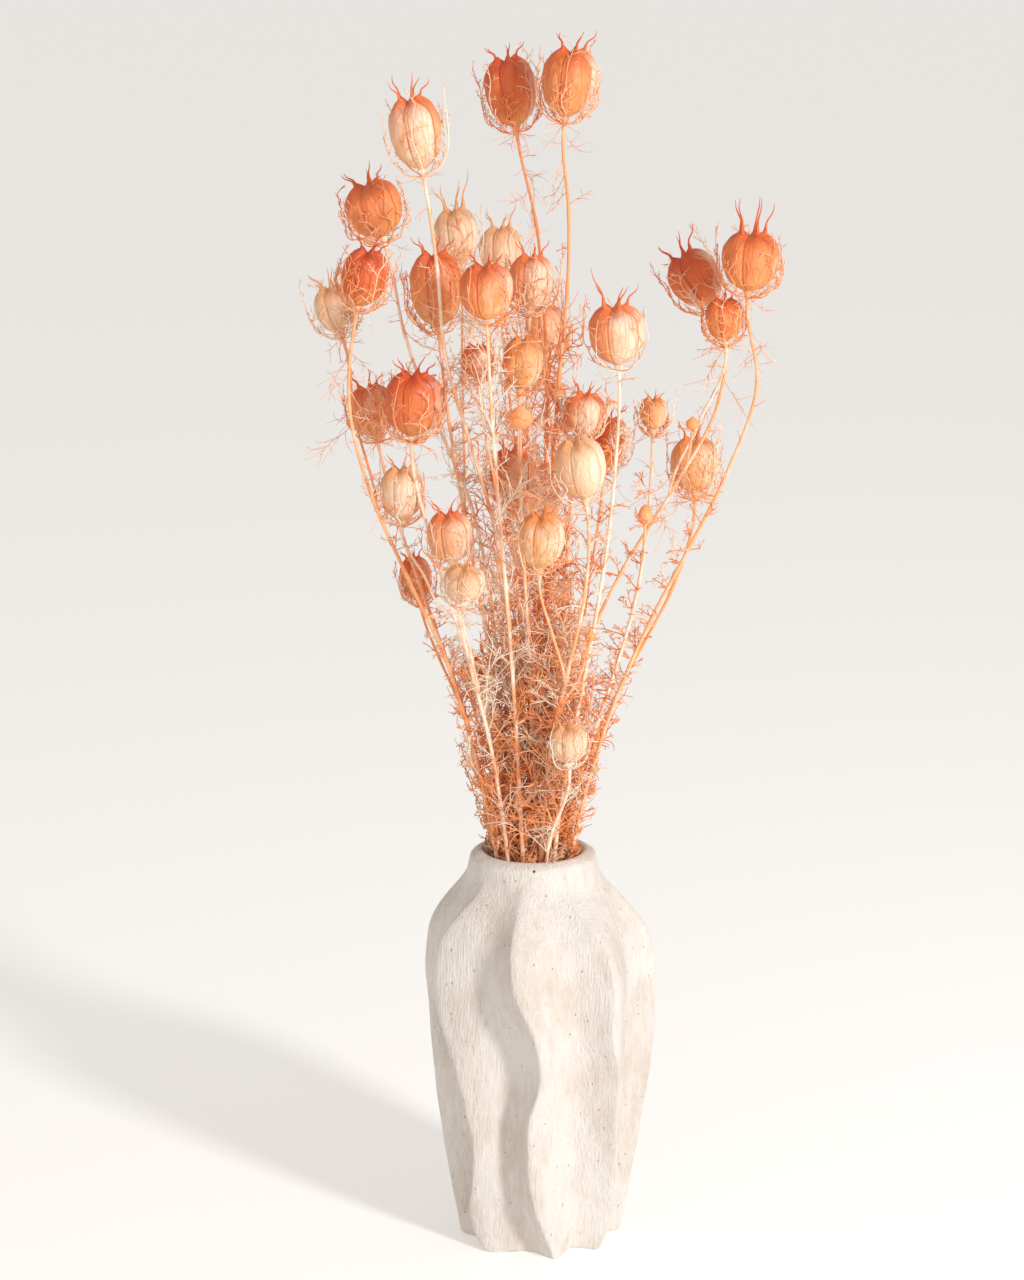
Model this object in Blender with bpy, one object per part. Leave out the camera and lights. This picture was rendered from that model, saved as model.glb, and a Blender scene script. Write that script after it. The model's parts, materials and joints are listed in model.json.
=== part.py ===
"""Dried nigella seed pods on their cut stems, standing together in a ridged clay vase.

Lengths are in millimetres until a mesh is made, when MM turns them into metres.
The frame has +Z up, with its origin at the centre of the flat foot of the vase.
"""
import math
import random

import bmesh
import bpy
import numpy as np
from mathutils import Matrix, Vector

MM = 0.001
GAP = 0.3

# The vase: radius over the ridges, depth of the valleys and radius of the hollow, by height.
VASE_HEIGHT = 181.0
RIDGE_RADIUS = [(0, 36.0), (13, 38.8), (37, 42.9), (61, 46.8), (85, 49.4), (109, 51.4), (123, 52.0),
                (137, 50.5), (147, 47.6), (156, 41.7), (161, 37.3), (166, 32.9), (171, 29.8),
                (176, 28.4), (179.5, 27.0), (181, 24.6)]
VALLEY_DEPTH = [(0, 9.0), (12, 9.5), (40, 11.0), (80, 12.5), (120, 12.0), (140, 10.0), (151, 7.5),
                (160, 4.5), (168, 1.6), (173, 0.0), (181, 0.0)]
HOLLOW_RADIUS = [(8, 20.0), (30, 23.5), (90, 30.0), (133, 29.5), (150, 22.5), (166, 19.6),
                 (178, 20.6), (181, 22.8)]
NECK_LEAN = [(0, 0.0), (130, 0.0), (171, -3.2), (181, -3.2)]
FOOT_CHAMFER = 1.2
VALLEY_AT = 0.6
FIN_STATIONS = (0.05, 0.28, 0.58, 0.8, 0.95)
FIN_TOP = 176.0
CREST_POWER = 0.8
OUTSIDE_RINGS = (0, FOOT_CHAMFER, 14, 28, 42, 56, 70, 84, 98, 112, 124, 135, 143, 150, 156, 161, 166,
                 171, 176, 179.5, 181)
INSIDE_RINGS = (181, 178, 166, 150, 133, 90, 8)

# Each ridge wanders from side to side on its way up: degrees off its mean angle, by height.
WAVE_LEFT = [(0, 11), (7, 2), (18, -1), (30, 5), (48, 10), (65, 8), (92, -1), (117, -13), (144, -10),
             (170, 7)]
WAVE_FRONT = [(0, 17), (29, 2), (53, -1), (71, 0), (85, 5), (109, 3), (130, -6), (146, -7), (172, -2)]
WAVE_SIDE = [(0, -4), (20, -6), (50, 3), (85, 2), (120, 6), (146, -2), (172, -2)]
WAVE_RIGHT = [(0, 4), (6, 10), (31, 10), (62, 2), (85, 1), (108, -5), (134, -3), (148, -5), (170, -14)]
RIDGES = [(-53, WAVE_LEFT), (-7, WAVE_FRONT), (42, WAVE_RIGHT), (92, WAVE_SIDE), (138, WAVE_RIGHT),
          (183, WAVE_LEFT), (228, WAVE_FRONT), (270, WAVE_RIGHT)]

# The pods: x, y and z of the base, body height, body width, sideways lean in degrees, horn length, tint.
PODS = [
    (-11, 35, 497, 30, 22, -9, 6, "deep"), (10, 10, 503, 29, 23, 6, 7, "orange"),
    (-50, -35, 485, 30, 21, -10, 8, "peach"), (-68, 0, 453, 24, 24, -17, 7, "orange"),
    (-77, -35, 428, 24, 19, 12, 6, "deep"), (-87, 20, 409, 21, 17, -15, 8, "cream"),
    (-36, 50, 435, 25, 19, -6, 11, "cream"), (-44, -5, 415, 32, 22, -4, 7, "orange"),
    (-18, 68, 427, 23, 19, 0, 7, "cream"), (-23, -48, 424, 23, 22, -2, 5, "orange"),
    (-5, 10, 420, 24, 19, 2, 6, "peach"), (32, -40, 404, 25, 23, -4, 8, "peach"),
    (74, 25, 421, 25, 22, -32, 9, "deep"), (88, -10, 431, 25, 24, 3, 15, "orange"),
    (79, -5, 409, 18, 16, -4, 5, "orange"), (-27, -32, 397, 14, 13, -3, 3, "orange"),
    (-9, -25, 391, 22, 17, 4, 5, "ochre"), (3, 65, 394, 21, 18, -3, 6, "peach"),
    (-73, 45, 359, 23, 20, -11, 6, "orange"), (-55, -30, 372, 27, 24, 2, 6, "deep"),
    (17, 5, 366, 19, 18, 8, 5, "peach"), (29, 60, 342, 23, 20, 4, 5, "deep"),
    (18, -52, 349, 26, 21, -9, 3, "cream"), (49, 15, 367, 14, 12, 1, 3, "ochre"),
    (69, 40, 334, 25, 21, -1, 7, "ochre"), (-13, -12, 341, 22, 19, 1, 6, "orange"),
    (-60, -22, 334, 23, 18, 0, 5, "cream"), (-38, -40, 319, 22, 19, -5, 5, "peach"),
    (-54, 40, 285, 20, 14, -10, 4, "orange"), (-33, -64, 307, 16, 17, 3, 4, "cream"),
    (-1, -64, 322, 23, 19, 2, 6, "ochre"), (12, -36, 230, 17, 16, -3, 4, "cream"),
    (-30, 25, 247, 15, 11, -3, 3, "orange"), (-5, 55, 319, 18, 16, -6, 4, "orange"),
]
POD_PROFILE = [(0, 0.18), (0.1, 0.58), (0.36, 0.97), (0.6, 1.04), (0.75, 0.99), (0.9, 0.72), (1, 0.3)]
POD_RINGS = (0.0, 0.1, 0.36, 0.68, 0.9)
LOBES = 5
SEAM_DEPTH = 0.12
DEPTH_LEAN = 0.1
HORN_ROOT = 0.46
HORN_LENGTH = (0.75, 1.0)
HORN_FLARE = (0.5, 0.9)
HORN_SIZES = (0.9, 0.6)
LONG_HORN = 8

# The plants: main pod, side pods with the height of their fork, points the main stem passes through,
# and buds as x, y, z, height and width, all numbered from 1 as the pods are listed.
PLANTS = [
    (14, [], [(41, -6, 272), (66, -9, 325), (91, -10, 394)], []),
    (13, [(15, 338)], [(26, 9, 291), (56, 13, 339)], [(65, -10, 371, 6, 6)]),
    (25, [], [], []),
    (12, [], [(30, -30, 349)], []),
    (24, [], [(46, 20, 310)], [(45, -12, 330, 9, 7)]),
    (22, [], [], []),
    (2, [], [(13, 7, 405), (14, 9, 450)], []),
    (1, [], [(-1, 27, 447), (-4, 31, 470)], []),
    (11, [(9, 310)], [], []),
    (10, [(16, 345)], [], []),
    (8, [(7, 320)], [], []),
    (17, [(26, 285)], [], [(-9, -42, 377, 10, 11)]),
    (21, [], [], [(7, 28, 379, 8, 9)]),
    (23, [(31, 262)], [], [(21, -32, 283, 5, 5)]),
    (18, [(34, 262)], [], []),
    (32, [], [], [(3, -22, 246, 9, 9)]),
    (3, [], [(-31, -22, 350), (-44, -30, 392)], []),
    (4, [], [(-31, 0, 343), (-54, 0, 397)], []),
    (5, [(6, 340)], [], []),
    (20, [(27, 290)], [], []),
    (19, [(29, 240)], [], []),
    (28, [(30, 258)], [], []),
    (33, [], [(-18, 16, 203)], [(-30, -8, 220, 8, 6), (-17, -16, 233, 10, 10)]),
]
MAIN_RADIUS = (1.25, 0.75)
SIDE_RADIUS = (0.75, 0.6)
CUP_RADIUS = 1.6
COLLAR = 6.0
MOUTH_SPREAD = 0.17
MOUTH_LIMIT = 15.5
NECK_DEPTH = 20.0
FOOT_HEIGHT = 9.0
FOOT_SPREAD = 0.9
FOOT_LEAN = 0.3
FIRST_BEND = (0.27, 0.25)
SIDE_BEND = 0.58
LEAF_HEIGHTS = (188.0, 335.0)
LEAF_LENGTH = (11, 21)
LEAF_CLIMB = (0.75, 1.05)
BRACT_FLARE = 2.6
BRACT_LIFT = (0.7, 1.1)
BRACT_ROOM = 2.4
BRACT_TURN = 0.12
THREAD = 0.47
TWIG = 0.7
KNOT = 1.6
SIDES = 5
SIDE_TURN = 0.35
FORK_LENGTH = 5.0
FORK_ROOT = 0.45
BUD_DROPS = (22, 30, 16, 38, 46, 54, 62)

# How the stems are bent clear of each other: rooms between surfaces, and the levels looked at.
STEM_STEP = 36.0
LEVELS = np.arange(FOOT_HEIGHT, 520.0, 4.0)
SLANT = 1.3
STEM_ROOM = 2.0
POD_ROOM = 3.0
WALL_ROOM = 3.0
WALL_PUSH = 4.0
THREAD_ROOM = 0.35
ROOT_SHARE = 0.4
ROUNDS = 400
STEM_PUSH = 0.25
POD_PUSH = 0.4
MOST_MOVE = 1.5
TRIES = 14

COLOURS = {
    "vase": (0.78, 0.73, 0.66), "stem": (0.86, 0.47, 0.28), "deep": (0.69, 0.20, 0.08),
    "orange": (0.79, 0.31, 0.13), "ochre": (0.81, 0.47, 0.22), "peach": (0.87, 0.53, 0.33),
    "cream": (0.88, 0.70, 0.49),
}


def curve(knots, at):
    """Values at the positions `at` on a smooth curve through knots of (position, value, ...)."""
    knots = np.asarray(knots, float)
    place, value = knots[:, 0], knots[:, 1:]
    step = np.diff(place)
    rise = np.diff(value, axis=0) / step[:, None]
    inner = (step[1:, None] * rise[:-1] + step[:-1, None] * rise[1:]) / (step[1:] + step[:-1])[:, None]
    slope = np.vstack([rise[:1], inner, rise[-1:]])
    at = np.clip(np.atleast_1d(at).astype(float), place[0], place[-1])
    i = np.clip(np.searchsorted(place, at, side="right") - 1, 0, len(step) - 1)
    width = step[i][:, None]
    s = (at - place[i])[:, None] / width
    return ((1 + 2 * s) * (1 - s) ** 2 * value[i] + s * (1 - s) ** 2 * width * slope[i]
            + s * s * (3 - 2 * s) * value[i + 1] + s * s * (s - 1) * width * slope[i + 1])


def level(knots, at):
    """One value of a curve of (position, value) knots."""
    return float(curve(knots, at)[0, 0])


class Pod:
    """A seed pod's place: its base, its axis and two directions across it."""

    def __init__(self, row):
        x, y, z, self.height, width, lean, self.horn, self.tint = row
        self.radius = width / 2
        self.base = np.array([x, y, z], float)
        self.axis = np.array([math.tan(math.radians(lean)), math.tan(math.radians(DEPTH_LEAN * y)), 1.0])
        self.axis /= np.linalg.norm(self.axis)
        self.across = np.cross([0.0, 1.0, 0.0], self.axis)
        self.across /= np.linalg.norm(self.across)
        self.along = np.cross(self.axis, self.across)

    def point(self, angle, distance, up):
        """A point at an angle round the axis, a distance out from it and a height up it."""
        side = math.cos(angle) * self.across + math.sin(angle) * self.along
        return self.base + distance * side + up * self.axis

    def reach(self, up):
        """How far the pod and its horns reach out from the axis at the heights `up`."""
        body = curve(POD_PROFILE, up / self.height)[:, 0] * self.radius
        crown = 0.5 * self.radius + 0.8 * np.clip(up - self.height, 0, self.horn)
        reach = np.where(up > self.height, crown, body)
        return np.where((up < -1.0) | (up > self.height + self.horn), -10.0, reach)


def pod_clearance(pod, points):
    """The least distance from points to the side of a pod, measured out from its axis."""
    offset = points - pod.base
    up = offset @ pod.axis
    distance = np.linalg.norm(offset - up[:, None] * pod.axis, axis=1)
    return float(np.min(distance - pod.reach(up)))


class Stem:
    """A stem as points up its length, which can be pushed sideways but not up or down."""

    def __init__(self, plant, pod, knots, radii, parent=None):
        self.plant, self.pod, self.parent = plant, pod, parent
        bottom, top = knots[0][0], knots[-2][0]
        count = max(2, round((top - bottom) / STEM_STEP))
        self.z = np.append(np.linspace(bottom, top, count + 1), knots[-1][0])
        if parent:
            self.z = np.insert(self.z, 1, bottom + FORK_LENGTH)
        self.xy = curve(knots, self.z)
        self.first = self.xy.copy()
        self.radius = np.linspace(*radii, len(self.z))
        if parent:
            self.radius[0] = FORK_ROOT
        self.inside = (LEVELS >= self.z[0]) & (LEVELS <= self.z[-1])
        self.weight = np.array([np.interp(LEVELS, self.z, row) for row in np.eye(len(self.z))]).T
        self.weight[~self.inside] = 0
        self.turn = parent.turn + SIDE_TURN if parent else random.Random(pod).uniform(0, 2 * math.pi)
        self.threads = []

    def points(self):
        return np.column_stack([self.xy, self.z])

    def at(self, height):
        return np.array([*(np.interp(height, self.z, self.xy[:, k]) for k in (0, 1)), height])


def stem_knots(pod, root, via):
    """Knots of (height, x, y) from the root of a stem, by way of given points, to under its pod."""
    end, collar = pod.base - GAP * pod.axis, pod.base - COLLAR * pod.axis
    return root + [(z, x, y) for x, y, z in via] + [(collar[2], *collar[:2]), (end[2], *end[:2])]


def lay_out(pods):
    """Start each stem on a smooth path from the vase to its pod, then bend the stems clear."""
    centre = np.array([level(NECK_LEAN, VASE_HEIGHT), 0.0])
    stems = []
    for number, (main, sides, via, _) in enumerate(PLANTS):
        pod = pods[main - 1]
        spread = MOUTH_SPREAD * math.sqrt(240 / (pod.base[2] - VASE_HEIGHT))
        mouth = spread * pod.base[:2]
        mouth *= min(1.0, MOUTH_LIMIT / max(1.0, float(np.hypot(*mouth))))
        foot = FOOT_SPREAD * mouth + FOOT_LEAN * centre
        root = [(FOOT_HEIGHT, *foot), (VASE_HEIGHT - NECK_DEPTH, *(mouth + centre))]
        if not via:
            up, out = FIRST_BEND
            height = VASE_HEIGHT + up * (pod.base[2] - COLLAR - VASE_HEIGHT)
            via = [(*((1 - out) * (mouth + centre) + out * pod.base[:2]), height)]
        parent = Stem(number, main - 1, stem_knots(pod, root, via), MAIN_RADIUS)
        stems.append(parent)
        for side, fork in sides:
            pod = pods[side - 1]
            start = parent.at(fork)
            middle = (1 - SIDE_BEND) * start + SIDE_BEND * pod.base
            middle[2] = (fork + pod.base[2]) / 2
            knots = stem_knots(pod, [(fork, *start[:2])], [tuple(middle)])
            stems.append(Stem(number, side - 1, knots, SIDE_RADIUS, parent))
    bend_clear(stems, pods)
    return stems


def bend_clear(stems, pods):
    """Push stems off each other, off the pods they pass and off the wall, a little at a time."""
    sizes = np.array([stem.weight @ stem.radius for stem in stems])
    inside = np.array([stem.inside for stem in stems])
    plants = np.array([stem.plant for stem in stems])
    meet = inside[:, None] & inside[None] & (plants[:, None] != plants[None])[:, :, None]
    room = SLANT * (sizes[:, None] + sizes[None] + STEM_ROOM)
    above = [LEVELS - pod.base[2] for pod in pods]
    centres = np.array([pod.base[:2] + np.outer(up, pod.axis[:2] / pod.axis[2])
                        for pod, up in zip(pods, above)])
    reach = np.array([pod.reach(up) for pod, up in zip(pods, above)])
    others = np.array([stem.pod for stem in stems])[:, None] != np.arange(len(pods))[None]
    passing = inside[:, None] & others[:, :, None]
    pod_room = SLANT * (reach[None] + sizes[:, None] + POD_ROOM)
    wall = curve(HOLLOW_RADIUS, LEVELS)[:, 0] - WALL_ROOM
    wall[LEVELS > VASE_HEIGHT + 4] = 1000.0
    middle = np.column_stack([curve(NECK_LEAN, LEVELS)[:, 0], np.zeros(len(LEVELS))])
    for _ in range(ROUNDS):
        places = np.array([stem.weight @ stem.xy for stem in stems])
        push = push_off(places[:, None] - places[None], room, meet, STEM_PUSH)
        push += push_off(places[:, None] - centres[None], pod_room, passing, POD_PUSH)
        offset = places - middle
        distance = np.linalg.norm(offset, axis=-1) + 1e-6
        over = np.where(inside, np.maximum(distance - wall, 0), 0)
        push -= (WALL_PUSH * over / distance)[..., None] * offset
        for stem, own in zip(stems, push):
            share = stem.weight.sum(axis=0)[:, None] + 1e-6
            move = np.clip(2 * stem.weight.T @ own / share, -MOST_MOVE, MOST_MOVE)
            shift = stem.xy - stem.first + move
            shift[1:-1] = 0.5 * shift[1:-1] + 0.25 * (shift[:-2] + shift[2:])
            shift[-2:] = 0
            stem.xy = stem.first + shift
            if stem.parent:
                stem.first[0] = stem.xy[0] = stem.parent.at(stem.z[0])[:2]


def push_off(offset, room, counts, strength):
    """The push on each stem, at each level, from whatever stands nearer to it than the room given."""
    distance = np.linalg.norm(offset, axis=-1) + 1e-6
    lack = np.where(counts, np.maximum(room - distance, 0), 0)
    return (strength * (lack / distance)[..., None] * offset).sum(axis=1)


def segment_gap(start, end, starts, ends):
    """The least distance between one straight run and many others, between their middle lines."""
    one, many, offset = end - start, ends - starts, start - starts
    a, e = one @ one, (many * many).sum(axis=1)
    b, c, f = many @ one, offset @ one, (offset * many).sum(axis=1)
    span = np.maximum(a * e - b * b, 1e-9)
    s = np.clip((b * f - c * e) / span, 0, 1)
    t = np.clip((b * s + f) / e, 0, 1)
    s = np.clip((b * t - c) / a, 0, 1)
    return np.linalg.norm(start + s[:, None] * one - starts - t[:, None] * many, axis=1)


class Space:
    """What stands where, so that a thread can be laid clear of everything but its own root."""

    def __init__(self, pods, stems):
        self.pods = pods
        self.runs, self.sizes, self.roots = [], [], []
        for number, stem in enumerate(stems):
            path = stem.points()
            self.add(path[:-1], np.append(stem.radius[:-2], CUP_RADIUS), number)

    def add(self, path, radii, root):
        for k in range(len(path) - 1):
            self.runs.append((path[k], path[k + 1]))
            self.sizes.append(max(radii[k], radii[k + 1]))
            self.roots.append(root)

    def clear(self, path, radius, root, share=ROOT_SHARE):
        """True if a thread stands clear of the pods, of the stems but its own, and of all threads."""
        path = [path[0] + share * (path[1] - path[0]), *path[1:]]
        if min(point[2] for point in path) < VASE_HEIGHT + 3:
            return False
        steps = np.linspace(0, 1, 7)[:, None]
        runs = np.array(self.runs)[np.array(self.roots) != root]
        sizes = np.array(self.sizes)[np.array(self.roots) != root]
        for start, end in zip(path, path[1:]):
            samples = start + steps * (end - start)
            if any(pod_clearance(pod, samples) < radius + THREAD_ROOM for pod in self.pods):
                return False
            if np.min(segment_gap(start, end, runs[:, 0], runs[:, 1]) - sizes) < radius + THREAD_ROOM:
                return False
        return True

    def add_thread(self, path):
        """Remember a thread, but for its root, with no root of its own to leave out."""
        path = [path[0] + ROOT_SHARE * (path[1] - path[0]), *path[1:]]
        self.add(path, [THREAD] * len(path), None)


def lay_thread(space, number, paths, where, stem):
    """Lay a thread and the branch it forks into, if there is room; say whether there was."""
    main, fork = paths
    if not space.clear(main, THREAD, number):
        return False
    forks = fork is not None and space.clear(fork, THREAD, number)
    space.add_thread(main)
    if forks:
        space.add_thread(fork)
    stem.threads.append((*where, main[1:], fork[1] if forks else None))
    return True


def bract_paths(pod, angle, turn, flare, lift, forked):
    """A bract that springs from under the pod and bows up round it, and the branch it forks into."""
    r, h = pod.radius, pod.height
    root = pod.point(angle, 0.9, -2.8)
    elbow = pod.point(angle + 0.6 * turn, 0.78 * r + 1.2 + 0.3 * flare, 0.07 * h)
    bow = pod.point(angle + turn, r + BRACT_ROOM + flare, 0.44 * h)
    tip = pod.point(angle + turn + 0.1, r + 2.0 + 1.4 * flare, lift * h)
    fork = pod.point(angle + turn + (0.45 if flare > 1.2 else -0.45), r + 3.2 + flare, 0.85 * lift * h)
    return [root, elbow, bow, tip], [bow, fork] if forked else None


def lay_bracts(pods, stems, space):
    """The bracts round each pod, each turned and drawn in until it is clear of its neighbours."""
    for number, stem in enumerate(stems):
        pod = pods[stem.pod]
        draw = random.Random(stem.pod)
        for k in range(SIDES):
            angle = stem.turn + 2 * math.pi * k / SIDES
            flare, lift = draw.uniform(0, BRACT_FLARE), draw.uniform(*BRACT_LIFT)
            for attempt in range(TRIES):
                turn = BRACT_TURN * ((attempt + 1) // 2) * (-1) ** attempt
                paths = bract_paths(pod, angle, turn, flare * 0.85 ** attempt, lift * 0.96 ** attempt,
                                    k % 2 == 0)
                if lay_thread(space, number, paths, ("cup", k), stem):
                    break


def lay_leaves(stems, space):
    """Thread-like leaves at the knots of each lower stem, two at a knot, every other one forked."""
    for number, stem in enumerate(stems):
        draw = random.Random(100 + number)
        for knot in range(1, len(stem.z) - 2):
            if stem.parent or not LEAF_HEIGHTS[0] < stem.z[knot] < LEAF_HEIGHTS[1]:
                continue
            first = draw.randrange(SIDES)
            for side, forked in ((first, True), (first + 2, False)):
                for attempt in range(TRIES):
                    paths = leaf_paths(stem, knot, side, draw, 0.96 ** attempt, forked)
                    if lay_thread(space, number, paths, (knot, side % SIDES), stem):
                        break


def leaf_paths(stem, knot, side, draw, share, forked):
    """A leaf thread out and up from a knot of a stem, and the branch it forks into."""
    angle = stem.turn + 2 * math.pi * side / SIDES + draw.uniform(-0.5, 0.5)
    length = draw.uniform(*LEAF_LENGTH) * share
    out = np.array([math.cos(angle), math.sin(angle), 0.0])
    beside = np.array([-out[1], out[0], 0.0])
    up = np.array([0.0, 0.0, 1.0])
    bend, climb = draw.uniform(-0.3, 0.3), draw.uniform(*LEAF_CLIMB)
    root = np.array([*stem.xy[knot], stem.z[knot]])
    knee = root + length * (0.36 * out + 0.25 * up)
    tip = root + length * (0.60 * out + climb * up + bend * beside)
    fork = root + length * (0.92 * out + 0.55 * climb * up - bend * beside)
    return [root, knee, tip], [knee, fork] if forked else None


def lay_buds(stems, space):
    """Small unopened buds, each on a twig from its own main stem, where the twig has room."""
    buds = []
    for number, plant in enumerate(PLANTS):
        root, stem = next(pair for pair in enumerate(stems) if pair[1].plant == number)
        for x, y, z, height, width in plant[3]:
            base = np.array([x, y, z], float)
            crown = [base + share * height * np.array([0, 0, 1.0]) for share in (0.3, 0.65, 1.0)]
            for drop in BUD_DROPS:
                start = stem.at(min(z - drop, stem.z[-1] - COLLAR - 3))
                middle = 0.35 * start + 0.65 * base - np.array([0, 0, 0.18 * drop])
                if space.clear([start, middle, base, crown[1]], TWIG, root, 0.05):
                    path = [start, middle, base, *crown]
                    radii = [TWIG, TWIG, TWIG, 0.48 * width, 0.42 * width, 0]
                    space.add(path[1:], radii[1:], None)
                    buds.append((number, path, radii))
                    break
    return buds


def ring_at(mesh, point, ahead, radius, turn):
    """A ring of a stem's corners round a point, each at the same side all the way up the stem."""
    across = Vector((0, 1, 0)).cross(ahead).normalized()
    along = ahead.cross(across)
    corners = []
    for k in range(SIDES):
        angle = turn + 2 * math.pi * (k - 0.5) / SIDES
        corners.append(mesh.verts.new((Vector(point) + radius * (math.cos(angle) * across
                                                                 + math.sin(angle) * along)) * MM))
    return corners


def stem_mesh(stem, pod):
    """A stem from root to cup as one closed mesh, with its bracts and leaves drawn out of its sides."""
    points, mesh = [Vector(point) for point in stem.points()], bmesh.new()
    wanted = {(where, side): (path, fork) for where, side, path, fork in stem.threads}
    rings = []
    for k, point in enumerate(points[:-1]):
        ahead = (points[k + 1] - points[max(k - 1, 0)]).normalized()
        radius = float(stem.radius[k])
        if any(where == k for where, _ in wanted):
            for end, label in ((-0.5, None), (0.5, k)):
                spot = point + end * KNOT * ahead
                rings.append((ring_at(mesh, spot, ahead, 1.1 * radius, stem.turn), label))
        else:
            rings.append((ring_at(mesh, point, ahead, radius, stem.turn), None))
    axis, base = Vector(pod.axis), Vector(pod.base)
    for down, radius, label in ((3.6, 1.15, None), (2.0, 1.3, "cup"), (GAP, CUP_RADIUS, None)):
        rings.append((ring_at(mesh, base - down * axis, axis, radius, stem.turn), label))
    for (low, _), (high, label) in zip(rings, rings[1:]):
        for k in range(SIDES):
            m = (k + 1) % SIDES
            corners = [low[k], low[m], high[m], high[k]]
            if (label, k) in wanted:
                draw_thread(mesh, corners, *wanted[(label, k)])
            else:
                mesh.faces.new(corners)
    mesh.faces.new(rings[0][0])
    mesh.faces.new(rings[-1][0])
    bmesh.ops.recalc_face_normals(mesh, faces=mesh.faces)
    return mesh


def draw_thread(mesh, corners, path, fork):
    """A three-sided thread drawn out of a four-cornered opening, along a path to a point."""
    path = [Vector(point) * MM for point in path]
    centre = sum((corner.co for corner in corners), Vector()) / 4
    offsets = [corners[0].co - centre, corners[1].co - centre,
               centre - (corners[0].co + corners[1].co) / 2]
    rings, previous = [], centre
    forking = Vector(fork) * MM if fork is not None else None
    for k, point in enumerate(path[:-1]):
        ahead = (path[k + 1] - previous).normalized()
        spots = [point]
        if forking is not None and k == len(path) - 2:
            spots.append(point + KNOT * MM * (path[k + 1] - point).normalized())
        for spot in spots:
            offsets = [(offset - offset.dot(ahead) * ahead).normalized() for offset in offsets]
            rings.append([mesh.verts.new(spot + THREAD * MM * offset) for offset in offsets])
        previous = point
    first = rings[0]
    mesh.faces.new([corners[0], corners[1], first[1], first[0]])
    mesh.faces.new([corners[1], corners[2], first[2], first[1]])
    mesh.faces.new([corners[2], corners[3], first[2]])
    mesh.faces.new([corners[3], corners[0], first[0], first[2]])
    sides = [0, 1, 2]
    for low, high in zip(rings, rings[1:]):
        forked = None
        if forking is not None and high is rings[-1]:
            middle = sum((corner.co for corner in low), Vector()) / 3
            forked = max(sides, key=lambda n: ((low[n].co + low[(n + 1) % 3].co) / 2 - middle).normalized()
                         .dot((forking - middle).normalized()))
        for n in sides:
            loop = [low[n], low[(n + 1) % 3], high[(n + 1) % 3], high[n]]
            if n == forked:
                tip = mesh.verts.new(forking)
                for a, b in zip(loop, loop[1:] + loop[:1]):
                    mesh.faces.new([a, b, tip])
            else:
                mesh.faces.new(loop)
    tip = mesh.verts.new(path[-1])
    for n in sides:
        mesh.faces.new([rings[-1][n], rings[-1][(n + 1) % 3], tip])


def bud_mesh(path, radii):
    """A bud on its twig: rings round the path, closed at the root and drawn to a point at the top."""
    points, mesh, rings = [Vector(point) for point in path], bmesh.new(), []
    for k, point in enumerate(points[:-1]):
        ahead = (points[k + 1] - points[max(k - 1, 0)]).normalized()
        rings.append(ring_at(mesh, point, ahead, float(radii[k]), 0.0))
    tip = mesh.verts.new(points[-1] * MM)
    mesh.faces.new(rings[0])
    for k in range(SIDES):
        m = (k + 1) % SIDES
        for low, high in zip(rings, rings[1:]):
            mesh.faces.new([low[k], low[m], high[m], high[k]])
        mesh.faces.new([rings[-1][k], rings[-1][m], tip])
    bmesh.ops.recalc_face_normals(mesh, faces=mesh.faces)
    return mesh


def add_object(name, mesh, tint, collection=None):
    """An object made from a bmesh, shaded smooth, with a material of its own."""
    data = bpy.data.meshes.new(name)
    mesh.to_mesh(data)
    mesh.free()
    data.shade_smooth()
    material = bpy.data.materials.new(name)
    material.use_nodes = True
    surface = material.node_tree.nodes["Principled BSDF"]
    surface.inputs["Base Color"].default_value = (*COLOURS[tint], 1.0)
    surface.inputs["Roughness"].default_value = 0.9 if tint == "vase" else 0.65
    surface.inputs["Metallic"].default_value = 0.0
    data.materials.append(material)
    thing = bpy.data.objects.new(name, data)
    (collection or bpy.context.scene.collection).objects.link(thing)
    return thing


def vase_ring(height, hollow):
    """One ring of the vase: over the ridges and valleys outside, round inside."""
    lean = level(NECK_LEAN, height)
    crest_height = FIN_TOP if hollow else min(height, FIN_TOP)
    crests = [mean + level(wave, crest_height) for mean, wave in RIDGES]
    ring = []
    for k, crest in enumerate(crests):
        span = (crests[(k + 1) % len(crests)] - crest) % 360
        for share in FIN_STATIONS:
            angle = math.radians(crest + span * share)
            if hollow:
                radius = level(HOLLOW_RADIUS, height)
            else:
                skewed = share ** (math.log(0.5) / math.log(VALLEY_AT))
                valley = math.sin(math.pi * skewed) ** CREST_POWER
                radius = level(RIDGE_RADIUS, height) - level(VALLEY_DEPTH, height) * valley
                if height == 0:
                    radius -= FOOT_CHAMFER
            ring.append((lean + radius * math.sin(angle), -radius * math.cos(angle), height))
    return ring


def make_vase():
    """The vase: rings up the ridged outside, over the round lip and down the plain hollow."""
    mesh = bmesh.new()
    rings = [vase_ring(height, False) for height in OUTSIDE_RINGS]
    rings += [vase_ring(height, True) for height in INSIDE_RINGS]
    rings = [[mesh.verts.new(Vector(point) * MM) for point in ring] for ring in rings]
    for low, high in zip(rings, rings[1:]):
        for n in range(len(low)):
            m = (n + 1) % len(low)
            mesh.faces.new([low[n], low[m], high[m], high[n]])
    mesh.faces.new(rings[0])
    mesh.faces.new(rings[-1])
    bmesh.ops.recalc_face_normals(mesh, faces=mesh.faces)
    vase = add_object("vase", mesh, "vase")
    vase.data.set_sharp_from_angle(angle=math.radians(60))


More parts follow.
